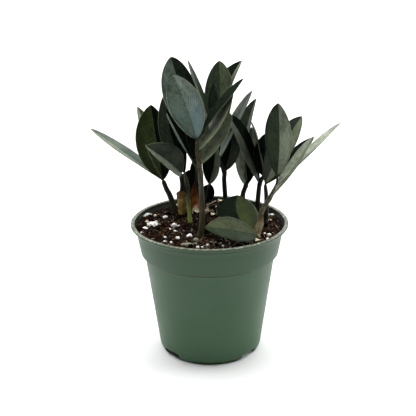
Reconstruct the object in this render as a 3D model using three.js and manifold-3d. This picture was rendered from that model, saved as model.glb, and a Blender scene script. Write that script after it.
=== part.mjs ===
// A potted zanzibar gem: a young plant with near-black leaflets in a round nursery pot of potting mix.
// Millimetres, +Z up. The origin is the centre of the pot's underside, and the front of the plant faces -Y.

import * as THREE from 'three';
import { mergeVertices } from 'three/addons/utils/BufferGeometryUtils.js';
import Module from 'manifold-3d';

const wasm = await Module();
wasm.setup();

// Pot sizes
const POT_HEIGHT = 130.5;
const POT_LIP_RADIUS = 76.2;
const POT_SIDES = 48;
const POT_FLOOR = 3;
const NOTCH_WIDTH = 20;
const NOTCH_HEIGHT = 3.9;
const NOTCH_INNER_RADIUS = 38;
const NOTCH_OUTER_RADIUS = 56;
const NOTCH_TURNS = [-140, -40, 90];

// The pot's outside from the lip down to the underside, as radius and height
const POT_OUTSIDE = [
  [75.2, POT_HEIGHT],
  [POT_LIP_RADIUS, 130],
  [POT_LIP_RADIUS, 128.5],
  [74, 127.3],
  [71.5, 124.5],
  [70.4, 120.5],
  [69.8, 116.5],
  [66.9, 101],
  [66.3, 100.3],
  [63.4, 99.5],
  [50.2, 6],
  [49.6, 4],
  [48.6, 2],
  [46.5, 0.5],
  [45.5, 0],
];

// The pot's inside from the floor up to the lip
const POT_INSIDE = [
  [46.4, POT_FLOOR],
  [48, 4.6],
  [61.5, 99.5],
  [65.1, 101.6],
  [68.2, 117],
  [69.2, 122],
  [71.8, 127.4],
  [72.4, POT_HEIGHT - 0.3],
];

// Potting mix sizes
const CLEARANCE = 0.3;
const MIX_LEVEL = 125.3;
const MIX_EDGE_RADIUS = 70.5;
const MIX_RINGS = [60, 47, 34, 21, 9];
const STEM_DEPTH = 9;

// Leaflet sizes
const BLADE_THICKNESS = 0.9;
const STALK_HALF_WIDTH = 1;
const STALK_THICKNESS = 1.6;
const STALK_SHARE = 0.14;
const TIP_HALF_WIDTH = 0.4;
const BASE_TAPER = 0.8;
const TIP_TAPER = 0.72;
const BLADE_STATIONS = [0, 0.05, 0.14, 0.28, 0.45, 0.63, 0.82, 1];
const BLADE_COLUMNS = [-1, -0.5, 0, 0.5, 1];
const STEM_SIDES = 8;

// Sheath and lump sizes
const SHEATH_THICKNESS = 0.8;
const SHEATH_ROWS = 7;
const SHEATH_COLUMNS = 9;
const SHEATH_NARROWING = 0.9;
const HOLE_SIDES = 12;

// Finishes
const POT_GREEN = new THREE.MeshStandardMaterial({ color: 0x4f6f5c, roughness: 0.5, metalness: 0 });
const PEAT = new THREE.MeshStandardMaterial({ color: 0x3b2a22, roughness: 0.95, metalness: 0 });
const DARK_LEAF = new THREE.MeshStandardMaterial({ color: 0x1f2b27, roughness: 0.35, metalness: 0 });
const OLIVE_LEAF = new THREE.MeshStandardMaterial({ color: 0x2f3d2a, roughness: 0.4, metalness: 0 });
const DRY_TAN = new THREE.MeshStandardMaterial({ color: 0x8f7650, roughness: 0.85, metalness: 0 });
const DRY_RUST = new THREE.MeshStandardMaterial({ color: 0x7a4228, roughness: 0.8, metalness: 0 });
const PERLITE = new THREE.MeshStandardMaterial({ color: 0xe9e7e0, roughness: 0.9, metalness: 0 });
const STONE = new THREE.MeshStandardMaterial({ color: 0x8c8b80, roughness: 0.8, metalness: 0 });

// Each leafy stem: its line from the mix up, its radius at foot and top, and its leaflets.
// A leaflet grows from one of the line's points. Its heading is 0 towards +X and 90 away from the front,
// its rise is above level, roll turns it about its own length, fold lifts both halves about the midrib,
// and bow and sweep arch it across and along its face, in mm. Where bare is given, that share of its
// length is a bare stalk.
const FRONDS = [
  {
    name: 'frond_front',
    finish: DARK_LEAF,
    radii: [3.2, 1.6],
    line: [
      [-9, -31, 126], [-7, -31, 142], [-7, -31, 162], [-8, -30, 187],
      [-9, -29, 196], [-11, -25, 207], [-11, -20, 218],
    ],
    leaflets: [
      { from: 3, heading: 128, rise: 43, length: 70, width: 31,
        roll: 16, fold: 32, bow: 0, sweep: -1, bare: 0.2 },
      { from: 4, heading: 44, rise: 46, length: 58, width: 33, roll: -11, fold: 7, bow: -1, sweep: -1 },
      { from: 4, heading: 95, rise: 55, length: 60, width: 22, roll: 0, fold: 8, bow: 0, sweep: 0 },
      { from: 5, heading: 34, rise: 51, length: 65, width: 26, roll: -17, fold: 5, bow: -2, sweep: 1 },
      { from: 6, heading: 159, rise: 69, length: 63, width: 35, roll: -90, fold: 9, bow: -3, sweep: 2 },
      { from: 6, heading: 31, rise: 45, length: 72, width: 28, roll: -17, fold: 13, bow: 0, sweep: -1 },
      { from: 6, heading: 121, rise: 56, length: 83, width: 37, roll: -43, fold: 29, bow: 2, sweep: 0 },
    ],
  },
  {
    name: 'frond_left_front',
    finish: DARK_LEAF,
    radii: [2.1, 1.4],
    line: [[-19, 12, 126], [-20.5, 18, 141], [-21, 24, 157], [-24, 29, 170]],
    leaflets: [
      { from: 3, heading: 176, rise: 77, length: 81, width: 32, roll: -38, fold: 5, bow: -4, sweep: -1 },
    ],
  },
  {
    name: 'frond_left_middle',
    finish: DARK_LEAF,
    radii: [2.8, 2.5],
    line: [[-26, 38, 126], [-27, 30, 146], [-26, 18, 162], [-27, 10, 175]],
    leaflets: [
      { from: 3, heading: -148, rise: 42, length: 51, width: 33, roll: -61, fold: 38, bow: 8, sweep: -4 },
    ],
  },
  {
    name: 'frond_left_rear',
    finish: OLIVE_LEAF,
    radii: [2, 1.4],
    line: [[-34, 38, 126], [-39, 40, 142], [-43, 42, 150], [-46, 44, 158]],
    leaflets: [
      { from: 3, heading: 163, rise: 82, length: 77, width: 42, roll: -88, fold: 28, bow: 1, sweep: 0 },
      { from: 3, heading: 163, rise: 32, length: 90, width: 25, roll: 4, fold: 11, bow: 0, sweep: 0 },
      { from: 3, heading: 142, rise: 66, length: 77, width: 24, roll: 5, fold: 12, bow: 1, sweep: 0 },
    ],
  },
  {
    name: 'frond_rear_left',
    finish: OLIVE_LEAF,
    radii: [2, 1.4],
    line: [
      [17, 53, 126], [16, 52, 139], [15, 47, 157], [15, 43, 167],
      [10, 37, 181], [8, 34, 188], [8, 31, 198], [10, 30, 207],
    ],
    leaflets: [
      { from: 3, heading: -17, rise: 83, length: 52, width: 28, roll: 64, fold: 12, bow: -2, sweep: 3 },
      { from: 4, heading: 11, rise: 64, length: 75, width: 26, roll: 3, fold: 8, bow: 1, sweep: -1 },
      { from: 6, heading: 168, rise: 71, length: 87, width: 28, roll: 3, fold: 5, bow: 0, sweep: 0 },
      { from: 7, heading: 89, rise: 58, length: 77, width: 36, roll: -36, fold: 13, bow: -1, sweep: 1 },
      { from: 7, heading: 60, rise: 55, length: 80, width: 31, roll: -15, fold: 28, bow: 4, sweep: -6 },
    ],
  },
  {
    name: 'frond_small',
    finish: OLIVE_LEAF,
    radii: [1.4, 1],
    line: [[-4, 44, 126], [-4, 38, 136], [-2, 30, 149], [0, 26, 159]],
    leaflets: [
      { from: 1, heading: 5, rise: 74, length: 20, width: 15, roll: 60, fold: 8, bow: 0, sweep: 0 },
      { from: 3, heading: -34, rise: 79, length: 44, width: 24, roll: 84, fold: 25, bow: -1, sweep: 1 },
    ],
  },
  {
    name: 'frond_young',
    finish: DARK_LEAF,
    radii: [1.3, 1],
    line: [[-15, 48, 126], [-15, 48, 141], [-14.5, 47, 152]],
    leaflets: [
      { from: 2, heading: -22, rise: 84, length: 29, width: 12, roll: 71, fold: 12, bow: 1, sweep: 0 },
    ],
  },
  {
    name: 'frond_rear_middle',
    finish: DARK_LEAF,
    radii: [1.8, 1.2],
    line: [[34, 52, 126], [34, 53, 139], [37, 54, 148], [38, 54, 152]],
    leaflets: [
      { from: 2, heading: 135, rise: 84, length: 56, width: 28, roll: -38, fold: 38, bow: 1, sweep: 1 },
      { from: 3, heading: 39, rise: 82, length: 85, width: 30, roll: -15, fold: 18, bow: 5, sweep: -4 },
    ],
  },
  {
    name: 'frond_rear_right',
    finish: DARK_LEAF,
    radii: [2, 1.3],
    line: [[48, 42, 126], [49, 38, 145], [50, 35, 156], [53, 32, 165]],
    leaflets: [
      { from: 2, heading: -142, rise: 62, length: 87, width: 30, roll: -57, fold: 5, bow: 1, sweep: 6 },
      { from: 3, heading: 120, rise: 64, length: 50, width: 20, roll: -90, fold: 10, bow: 0, sweep: 0 },
      { from: 3, heading: 165, rise: 77, length: 57, width: 22, roll: 13, fold: 7, bow: 2, sweep: 0 },
      { from: 3, heading: 45, rise: 86, length: 43, width: 23, roll: 50, fold: 14, bow: 0, sweep: 0 },
    ],
  },
  {
    name: 'frond_right_rear',
    finish: DARK_LEAF,
    radii: [2.2, 1.3],
    line: [[54, 9, 126], [55, 6, 140], [55, 6, 152], [54, 10, 164]],
    leaflets: [
      { from: 3, heading: 1, rise: 45, length: 65, width: 25, roll: 14, fold: 8, bow: 0, sweep: 1 },
      { from: 3, heading: 19, rise: 60, length: 74, width: 29, roll: 26, fold: 12, bow: 1, sweep: -2 },
    ],
  },
  {
    name: 'frond_right_front',
    finish: DARK_LEAF,
    radii: [3.2, 2],
    line: [[44, -27, 126], [47, -26, 136], [49, -23, 148], [56, -20, 159], [63, -15, 170]],
    leaflets: [
      { from: 3, heading: 8, rise: 55, length: 72, width: 22, roll: 4, fold: 15, bow: -1, sweep: 1 },
      { from: 4, heading: 6, rise: 45, length: 84, width: 24, roll: -4, fold: 14, bow: 0, sweep: 0 },
      { from: 4, heading: 54, rise: 89, length: 80, width: 30,
        roll: 1, fold: 8, bow: -4, sweep: 0, bare: 0.12 },
    ],
  },
  {
    name: 'frond_low',
    finish: OLIVE_LEAF,
    radii: [2, 1.4],
    line: [[46, -38, 126], [45, -37, 129], [37, -31, 130]],
    leaflets: [
      { from: 1, heading: -154, rise: 20, length: 57, width: 25, roll: -37, fold: 24, bow: 5, sweep: -4 },
      { from: 2, heading: 99, rise: 17, length: 60, width: 41, roll: 8, fold: 1, bow: 0, sweep: -6 },
    ],
  },
];

// Dry sheaths, each a sheet wrapped round its own line: its spread to each side of where it faces in
// degrees, and how far up it starts to narrow to its point
const SHEATHS = [
  {
    name: 'papery_sheath',
    finish: DRY_TAN,
    line: [[-26, 38, 119], [-26, 38, 126], [-27, 34, 137], [-27, 27, 150]],
    radii: [4.4, 4.5, 4.4, 4.2],
    facing: -110,
    spread: 150,
    narrows: 0.45,
  },
  {
    name: 'rust_sheath',
    finish: DRY_RUST,
    line: [[-15, 48, 119], [-15, 48, 126], [-15, 47, 141], [-15, 46, 156]],
    radii: [3.4, 3.7, 3.6, 2],
    facing: -90,
    spread: 110,
    narrows: 0.3,
  },
  {
    name: 'buff_sheath',
    finish: DRY_TAN,
    line: [[44, -27, 119], [44, -27, 126], [46, -27, 135], [49, -24, 147]],
    radii: [4.1, 4.1, 3.9, 3.5],
    facing: -80,
    spread: 100,
    narrows: 0.3,
  },
];

// Lumps half sunk in the mix: where they lie, their width, depth and height, and their turn
const LUMPS = [
  { name: 'perlite_1', finish: PERLITE, place: [-61, 27], size: [8, 6, 5], turn: 10 },
  { name: 'perlite_2', finish: PERLITE, place: [-55, 2], size: [10, 9, 6], turn: -20 },
  { name: 'perlite_3', finish: PERLITE, place: [-34, -1], size: [5, 6, 5], turn: 30 },
  { name: 'perlite_4', finish: PERLITE, place: [-44, 24], size: [4, 5, 3], turn: 0 },
  { name: 'perlite_5', finish: PERLITE, place: [-62, -7], size: [4, 5, 3], turn: 50 },
  { name: 'perlite_6', finish: PERLITE, place: [-39, -12], size: [4, 5, 3], turn: -40 },
  { name: 'perlite_7', finish: PERLITE, place: [-30, -34], size: [4, 5, 3], turn: 20 },
  { name: 'perlite_8', finish: PERLITE, place: [-19, -29], size: [6, 5, 4], turn: 70 },
  { name: 'perlite_9', finish: PERLITE, place: [61, 28], size: [7, 4, 3], turn: -15 },
  { name: 'perlite_10', finish: PERLITE, place: [56, -27], size: [4, 4, 3], turn: 35 },
  { name: 'stone_1', finish: STONE, place: [-13, -39], size: [5, 5, 4], turn: 15 },
  { name: 'stone_2', finish: STONE, place: [-4, -37], size: [4, 5, 3], turn: -30 },
  { name: 'stone_3', finish: STONE, place: [-21, -50], size: [11, 5, 3], turn: 8 },
];
const LUMP_ROUGHNESS = 0.18;
const LUMP_RISE = 0.15;

// The closed mesh whose shared corners are merged, as a solid to join and cut
function solidOf(geometry) {
  const bare = geometry.clone();
  bare.deleteAttribute('normal');
  bare.deleteAttribute('uv');
  const merged = mergeVertices(bare, 1e-4);
  return new wasm.Manifold(new wasm.Mesh({
    numProp: 3,
    vertProperties: merged.attributes.position.array,
    triVerts: new Uint32Array(merged.index.array),
  }));
}

function geometryOf(solid) {
  const mesh = solid.getMesh();
  const geometry = new THREE.BufferGeometry();
  geometry.setAttribute('position', new THREE.BufferAttribute(new Float32Array(mesh.vertProperties), 3));
  geometry.setIndex(new THREE.BufferAttribute(new Uint32Array(mesh.triVerts), 1));
  geometry.computeVertexNormals();
  return geometry;
}

function node(name, geometry, finish) {
  const mesh = new THREE.Mesh(geometry, finish);
  mesh.name = name;
  return mesh;
}

function geometryFrom(points, faces) {
  const geometry = new THREE.BufferGeometry();
  const places = points.flatMap((p) => [p.x, p.y, p.z]);
  geometry.setAttribute('position', new THREE.Float32BufferAttribute(places, 3));
  geometry.setIndex(faces);
  return geometry;
}

// A numbered source of even random numbers from 0 to 1
function seeded(seed) {
  let state = seed;
  return () => {
    state = (state * 1664525 + 1013904223) % 4294967296;
    return state / 4294967296;
  };
}

// Pot: one moulded wall and floor, with low drain notches through its bottom corner
function makePot() {
  const profile = [[0, POT_FLOOR], ...POT_INSIDE, ...POT_OUTSIDE, [0, 0]];
  const points = profile.map(([r, z]) => new THREE.Vector2(r, z)).reverse();
  const shell = new THREE.LatheGeometry(points, POT_SIDES).rotateX(Math.PI / 2);
  let pot = solidOf(shell);
  const reach = NOTCH_OUTER_RADIUS - NOTCH_INNER_RADIUS;
  for (const turn of NOTCH_TURNS) {
    const notch = new THREE.BoxGeometry(reach, NOTCH_WIDTH, NOTCH_HEIGHT * 2);
    notch.translate(NOTCH_INNER_RADIUS + reach / 2, 0, 0);
    notch.rotateZ(THREE.MathUtils.degToRad(turn));
    pot = pot.subtract(solidOf(notch));
  }
  return pot;
}

// Height of the mix's surface above its level, a few crumbs and hollows that fade at the pot's wall
function mixRelief(x, y) {
  const swell = 0.8 * Math.sin(0.11 * x + 0.6) * Math.cos(0.09 * y - 0.4);
  const clods = 0.6 * Math.sin(0.37 * x - 0.21 * y + 1.1) + 0.5 * Math.cos(0.29 * y + 0.43 * x);
  const fade = 1 - (Math.hypot(x, y) / MIX_EDGE_RADIUS) ** 4;
  return (swell + clods) * Math.max(fade, 0);
}

function makeMix() {
  const wall = POT_INSIDE.slice(1, -2).map(([r, z]) => [r - CLEARANCE, z]);
  const profile = [
    [0, POT_FLOOR + CLEARANCE],
    [POT_INSIDE[0][0] - 2 * CLEARANCE, POT_FLOOR + CLEARANCE],
    ...wall,
    [MIX_EDGE_RADIUS, MIX_LEVEL],
    ...MIX_RINGS.map((r) => [r, MIX_LEVEL]),
    [0, MIX_LEVEL],
  ];
  const points = profile.map(([r, z]) => new THREE.Vector2(r, z));
  const geometry = new THREE.LatheGeometry(points, POT_SIDES).rotateX(Math.PI / 2);
  const place = geometry.attributes.position;
  for (let i = 0; i < place.count; i += 1) {
    if (Math.abs(place.getZ(i) - MIX_LEVEL) < 0.01) {
      place.setZ(i, MIX_LEVEL + mixRelief(place.getX(i), place.getY(i)));
    }
  }
  return solidOf(geometry);
}

// Stem: a round tapering rod along its line, which starts straight down in the mix
function makeStem({ line, radii }) {
  const foot = line[0];
  const points = [[foot[0], foot[1], MIX_LEVEL - STEM_DEPTH], ...line].map((p) => new THREE.Vector3(...p));
  const curve = new THREE.CatmullRomCurve3(points);
  const steps = (points.length - 1) * 2;
  const frames = curve.computeFrenetFrames(steps);
  const corners = [];
  const faces = [];
  for (let i = 0; i <= steps; i += 1) {
    const centre = curve.getPointAt(i / steps);
    const radius = THREE.MathUtils.lerp(radii[0], radii[1], i / steps);
    for (let k = 0; k < STEM_SIDES; k += 1) {
      const turn = (2 * Math.PI * k) / STEM_SIDES;
      corners.push(centre.clone()
        .addScaledVector(frames.normals[i], radius * Math.cos(turn))
        .addScaledVector(frames.binormals[i], radius * Math.sin(turn)));
    }
  }
  for (let i = 0; i < steps; i += 1) {
    for (let k = 0; k < STEM_SIDES; k += 1) {
      const a = i * STEM_SIDES + k;
      const b = i * STEM_SIDES + ((k + 1) % STEM_SIDES);
      faces.push(a, b, b + STEM_SIDES, a, b + STEM_SIDES, a + STEM_SIDES);
    }
  }
  const last = steps * STEM_SIDES;
  for (let k = 1; k < STEM_SIDES - 1; k += 1) {
    faces.push(0, k + 1, k);
    faces.push(last, last + k, last + k + 1);
  }
  return solidOf(geometryFrom(corners, faces));
}

// Half the blade's width along its length, as a share of the most
function bladeOutline(t) {
  const widest = BASE_TAPER / (BASE_TAPER + TIP_TAPER);
  const most = widest ** BASE_TAPER * (1 - widest) ** TIP_TAPER;
  return (t ** BASE_TAPER * (1 - t) ** TIP_TAPER) / most;
}

// The directions along a blade, out of its upper face and to its right edge
function bladeAxes({ heading, rise, roll }) {
  const h = THREE.MathUtils.degToRad(heading);
  const e = THREE.MathUtils.degToRad(rise);
  const r = THREE.MathUtils.degToRad(roll);
  const along = new THREE.Vector3(Math.cos(e) * Math.cos(h), Math.cos(e) * Math.sin(h), Math.sin(e));
  const up = new THREE.Vector3(-Math.sin(e) * Math.cos(h), -Math.sin(e) * Math.sin(h), Math.cos(e));
  const side = along.clone().cross(up);
  const face = up.clone().multiplyScalar(Math.cos(r)).addScaledVector(side, Math.sin(r));
  const right = side.clone().multiplyScalar(Math.cos(r)).addScaledVector(up, -Math.sin(r));
  return { along, face, right };
}

// Leaflet: a folded, arched blade with the same triangles on both faces
function makeLeaflet(leaf, base) {
  const { along, face, right } = bladeAxes(leaf);
  const fold = THREE.MathUtils.degToRad(leaf.fold);
  const bare = leaf.bare ?? 0;
  const corners = [];
  const stations = BLADE_STATIONS.map((share) => bare + share * (1 - bare));
  if (bare > 0) stations.unshift(0);
  for (const t of stations) {
    const reach = Math.max(0, (t - bare) / (1 - bare));
    const arch = 4 * t * (1 - t);
    const middle = base.clone()
      .addScaledVector(along, leaf.length * t)
      .addScaledVector(face, leaf.bow * arch)
      .addScaledVector(right, leaf.sweep * arch);
    const stalk = Math.max(0, 1 - reach / STALK_SHARE);
    const half = Math.max((bladeOutline(reach) * leaf.width) / 2, STALK_HALF_WIDTH * stalk, TIP_HALF_WIDTH);
    const thick = THREE.MathUtils.lerp(BLADE_THICKNESS, STALK_THICKNESS, stalk) / 2;
    for (const u of BLADE_COLUMNS) {
      const centre = middle.clone()
        .addScaledVector(right, half * u * Math.cos(fold))
        .addScaledVector(face, half * Math.abs(u) * Math.sin(fold));
      const out = face.clone().multiplyScalar(u === 0 ? 1 / Math.cos(fold) : Math.cos(fold))
        .addScaledVector(right, -Math.sign(u) * Math.sin(fold));
      corners.push(centre.clone().addScaledVector(out, thick));
      corners.push(centre.clone().addScaledVector(out, -thick));
    }
  }
  return solidOf(geometryFrom(corners, sheetFaces(stations.length, BLADE_COLUMNS.length)));
}

// A sheet's triangles, with its outer face's corners even and its inner face's odd, split alike on both
function sheetFaces(rows, columns) {
  const faces = [];
  const corner = (i, j, low) => (i * columns + j) * 2 + low;
  const quad = (a, b, c, d) => faces.push(a, b, c, a, c, d);
  const last = rows - 1;
  for (let i = 0; i < last; i += 1) {
    for (let j = 0; j < columns - 1; j += 1) {
      quad(corner(i, j, 0), corner(i, j + 1, 0), corner(i + 1, j + 1, 0), corner(i + 1, j, 0));
      faces.push(corner(i, j, 1), corner(i + 1, j + 1, 1), corner(i, j + 1, 1));
      faces.push(corner(i, j, 1), corner(i + 1, j, 1), corner(i + 1, j + 1, 1));
    }
    quad(corner(i, 0, 1), corner(i, 0, 0), corner(i + 1, 0, 0), corner(i + 1, 0, 1));
    quad(corner(i, columns - 1, 0), corner(i, columns - 1, 1),
      corner(i + 1, columns - 1, 1), corner(i + 1, columns - 1, 0));
  }
  for (let j = 0; j < columns - 1; j += 1) {
    quad(corner(0, j, 1), corner(0, j + 1, 1), corner(0, j + 1, 0), corner(0, j, 0));
    quad(corner(last, j, 0), corner(last, j + 1, 0), corner(last, j + 1, 1), corner(last, j, 1));
  }
  return faces;
}

function makeFrond(frond) {
  let solid = makeStem(frond);
  for (const leaf of frond.leaflets) {
    solid = solid.add(makeLeaflet(leaf, new THREE.Vector3(...frond.line[leaf.from])));
  }
  return solid;
}

// Sheath: a curled sheet that narrows to a point at its top
function makeSheath({ line, radii, facing, spread, narrows }) {
  const curve = new THREE.CatmullRomCurve3(line.map((p) => new THREE.Vector3(...p)));
  const corners = [];
  for (let i = 0; i < SHEATH_ROWS; i += 1) {
    const t = i / (SHEATH_ROWS - 1);
    const centre = curve.getPoint(t);
    const step = Math.min(Math.floor(t * (radii.length - 1)), radii.length - 2);
    const radius = THREE.MathUtils.lerp(radii[step], radii[step + 1], t * (radii.length - 1) - step);
    const taper = Math.max(0, (t - narrows) / (1 - narrows));
    const reach = spread * (1 - SHEATH_NARROWING * taper ** 1.6);
    for (let j = 0; j < SHEATH_COLUMNS; j += 1) {
      const share = (2 * j) / (SHEATH_COLUMNS - 1) - 1;
      const turn = THREE.MathUtils.degToRad(facing + share * reach);
      const out = new THREE.Vector3(Math.cos(turn), Math.sin(turn), 0);
      corners.push(centre.clone().addScaledVector(out, radius + SHEATH_THICKNESS / 2));
      corners.push(centre.clone().addScaledVector(out, radius - SHEATH_THICKNESS / 2));
    }
  }
  return solidOf(geometryFrom(corners, sheetFaces(SHEATH_ROWS, SHEATH_COLUMNS)));
}

// Lump: a rough many sided pebble, and the pocket it lies in when given a growth
function makeLump({ place, size, turn }, seed, growth) {
  const random = seeded(seed);
  const geometry = solidOf(new THREE.IcosahedronGeometry(1, 1));
  const [width, depth, height] = size.map((full) => full / 2);
  const rough = geometry.warp((corner) => {
    const swell = 1 + LUMP_ROUGHNESS * (random() - 0.5);
    corner[0] *= (width * swell) + growth;
    corner[1] *= (depth * swell) + growth;
    corner[2] *= (height * swell) + growth;
  });
  return rough.rotate([0, 0, turn]).translate([place[0], place[1], MIX_LEVEL + height * LUMP_RISE]);
}

// A plain round hole in the mix for a stem or a sheath
function plainHole([x, y], radius) {
  const hole = new THREE.CylinderGeometry(radius, radius, 2 * STEM_DEPTH, HOLE_SIDES).rotateX(Math.PI / 2);
  hole.translate(x, y, MIX_LEVEL - CLEARANCE);
  return solidOf(hole);
}

const plant = new THREE.Group();
plant.add(node('pot', geometryOf(makePot()), POT_GREEN));
let mix = makeMix();
for (const frond of FRONDS) {
  mix = mix.subtract(plainHole(frond.line[0], frond.radii[0] + 2 * CLEARANCE));
  plant.add(node(frond.name, geometryOf(makeFrond(frond)), frond.finish));
}
for (const sheath of SHEATHS) {
  const radius = Math.max(...sheath.radii) + SHEATH_THICKNESS / 2 + 2 * CLEARANCE;
  mix = mix.subtract(plainHole(sheath.line[0], radius));
  plant.add(node(sheath.name, geometryOf(makeSheath(sheath)), sheath.finish));
}
LUMPS.forEach((lump, index) => {
  mix = mix.subtract(makeLump(lump, index + 1, CLEARANCE));
  plant.add(node(lump.name, geometryOf(makeLump(lump, index + 1, 0)), lump.finish));
});
plant.add(node('potting_mix', geometryOf(mix), PEAT));

export default plant;
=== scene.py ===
import logging
import math
import random
from dataclasses import dataclass, field
from enum import Enum
from functools import cache, cached_property, reduce

import bmesh
import bpy
from mathutils import Matrix, Vector, noise


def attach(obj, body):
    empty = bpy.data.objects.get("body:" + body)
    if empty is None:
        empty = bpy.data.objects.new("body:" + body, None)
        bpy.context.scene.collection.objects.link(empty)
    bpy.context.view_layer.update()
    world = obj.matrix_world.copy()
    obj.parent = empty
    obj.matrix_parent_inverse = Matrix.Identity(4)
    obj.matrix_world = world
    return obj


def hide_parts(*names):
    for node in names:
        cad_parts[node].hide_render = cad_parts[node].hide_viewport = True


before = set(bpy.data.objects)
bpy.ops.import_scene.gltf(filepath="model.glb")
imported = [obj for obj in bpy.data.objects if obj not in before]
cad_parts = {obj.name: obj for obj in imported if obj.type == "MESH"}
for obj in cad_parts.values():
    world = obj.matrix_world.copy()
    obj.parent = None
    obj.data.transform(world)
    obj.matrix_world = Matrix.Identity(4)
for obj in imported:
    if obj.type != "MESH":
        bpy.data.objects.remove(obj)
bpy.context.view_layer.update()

MM = 0.001
ROOT = "root"
MIX_LEVEL = 125.3

Pair = tuple[float, float]
Point = tuple[float, float, float]
Span = tuple[float, float, float, float]
Colour = tuple[float, float, float]
Socket = bpy.types.NodeSocket
Value = float | Socket
Material = bpy.types.Material

logging.basicConfig(level=logging.INFO, format="%(message)s")
log = logging.getLogger("potted_zanzibar_gem")


# Shader trees


class Tree:
    """A material's or the world's node tree, with short calls to add and join its nodes."""

    def __init__(self, owner: Material | bpy.types.World) -> None:
        """Empties the owner's tree.

        Args:
            owner: The material or the world whose tree it is.
        """
        self.owner = owner
        owner.use_nodes = True
        self.nodes, self.links = owner.node_tree.nodes, owner.node_tree.links
        self.nodes.clear()

    @cached_property
    def place(self) -> Socket:
        """Returns the place on the object, in metres."""
        return self.add("TexCoord").outputs["Object"]

    def add(self, kind: str, inputs: dict | None = None, **settings: object) -> bpy.types.Node:
        """Adds one node.

        Args:
            kind: The node's type, without its ShaderNode start.
            inputs: A value or another node's socket for each named or numbered input.
            settings: The node's own properties.

        Returns:
            The new node.
        """
        made = self.nodes.new("ShaderNode" + kind)
        for key, value in settings.items():
            setattr(made, key, value)
        for key, value in (inputs or {}).items():
            if isinstance(value, Socket):
                self.links.new(value, made.inputs[key])
            else:
                made.inputs[key].default_value = value
        return made

    def split(self, vector: Socket) -> list[Socket]:
        """Returns a vector's three parts."""
        return list(self.add("SeparateXYZ", {0: vector}).outputs)

    def vector(self, what: str, *vectors: object) -> bpy.types.Node:
        """Adds one sum on vectors."""
        return self.add("VectorMath", dict(enumerate(vectors)), operation=what)

    def math(self, what: str, *values: Value) -> Socket:
        """Adds one sum on numbers and returns its result."""
        return self.add("Math", dict(enumerate(values)), operation=what).outputs[0]

    def plus(self, first: Value, second: Value) -> Socket:
        """Adds two values up."""
        return self.math("ADD", first, second)

    def minus(self, first: Value, second: Value) -> Socket:
        """Takes one value from another."""
        return self.math("SUBTRACT", first, second)

    def apart(self, first: Value, second: Value) -> Socket:
        """Returns how far apart two values are."""
        return self.math("ABSOLUTE", self.minus(first, second))

    def times(self, *values: Value) -> Socket:
        """Multiplies values."""
        return reduce(lambda product, value: self.math("MULTIPLY", product, value), values)

    def spread(self, value: Value, low: float, high: float, to_low: float = 0.0, to_high: float = 1.0) -> Socket:
        """Maps low..high smoothly and clamped to to_low..to_high and returns the result."""
        inputs = {"Value": value, "From Min": low, "From Max": high, "To Min": to_low, "To Max": to_high}
        return self.add("MapRange", inputs, interpolation_type="SMOOTHSTEP").outputs[0]

    def fade(self, value: Value, low: float, high: float, most: float = 1.0) -> Socket:
        """Returns the most up to low, falling smoothly to nothing at high."""
        return self.spread(value, low, high, most, 0.0)

    def mix(self, share: Value, first: Colour | Socket, second: Colour | Socket, how: str = "MIX") -> Socket:
        """Mixes two colours and returns the result."""
        first, second = (c if isinstance(c, Socket) else (*c, 1.0) for c in (first, second))
        return self.add("Mix", {0: share, 6: first, 7: second}, data_type="RGBA", blend_type=how).outputs[2]

    def paint(self, colour: Colour | Socket, *layers: tuple[Value, Colour]) -> Socket:
        """Lays colours over a colour, each with its share, and returns the result."""
        return reduce(lambda under, layer: self.mix(layer[0], under, layer[1]), layers, colour)

    def noise(
        self, scale: float | Point, detail: float = 4.0, rough: float = 0.55, place: Socket | None = None
    ) -> Socket:
        """Adds a noise.

        Args:
            scale: How fine it is, or how fine it is along each axis.
            detail: How many finer noises it sums up.
            rough: How strong the finer ones are.
            place: What it lies over, or None for the object.

        Returns:
            Its value, about 0 to 1.
        """
        place = self.place if place is None else place
        if isinstance(scale, tuple):
            place, scale = self.add("Mapping", {"Vector": place, "Scale": scale}).outputs[0], 1.0
        inputs = {"Vector": place, "Scale": scale, "Detail": detail, "Roughness": rough}
        return self.add("TexNoise", inputs).outputs["Fac"]

    def finish(
        self, colour: object, roughness: Value, shine: float, height: Value | None = None, relief: float = 0.0
    ) -> Material:
        """Ends a material's tree in one shader.

        Args:
            colour: Its colour.
            roughness: How rough it is.
            shine: How strongly it shines.
            height: What its relief follows, or None for a plain face.
            relief: The relief's depth in metres.

        Returns:
            The finished material.
        """
        inputs = {"Base Color": colour, "Roughness": roughness, "Specular IOR Level": shine}
        if height is not None:
            inputs["Normal"] = self.add("Bump", {"Height": height, "Distance": relief}).outputs[0]
        self.add("OutputMaterial", {"Surface": self.add("BsdfPrincipled", inputs).outputs[0]})
        return self.owner


# Finishes


@dataclass(frozen=True)
class Finish:
    """A plain pale finish, which the others build on."""

    name: str

    def tree(self) -> Tree:
        """Starts the material's tree."""
        return Tree(bpy.data.materials.new(self.name))

    def material(self) -> Material:
        """Builds the material."""
        return self.tree().finish((0.78, 0.79, 0.795, 1.0), 0.8, 0.2)


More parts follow.
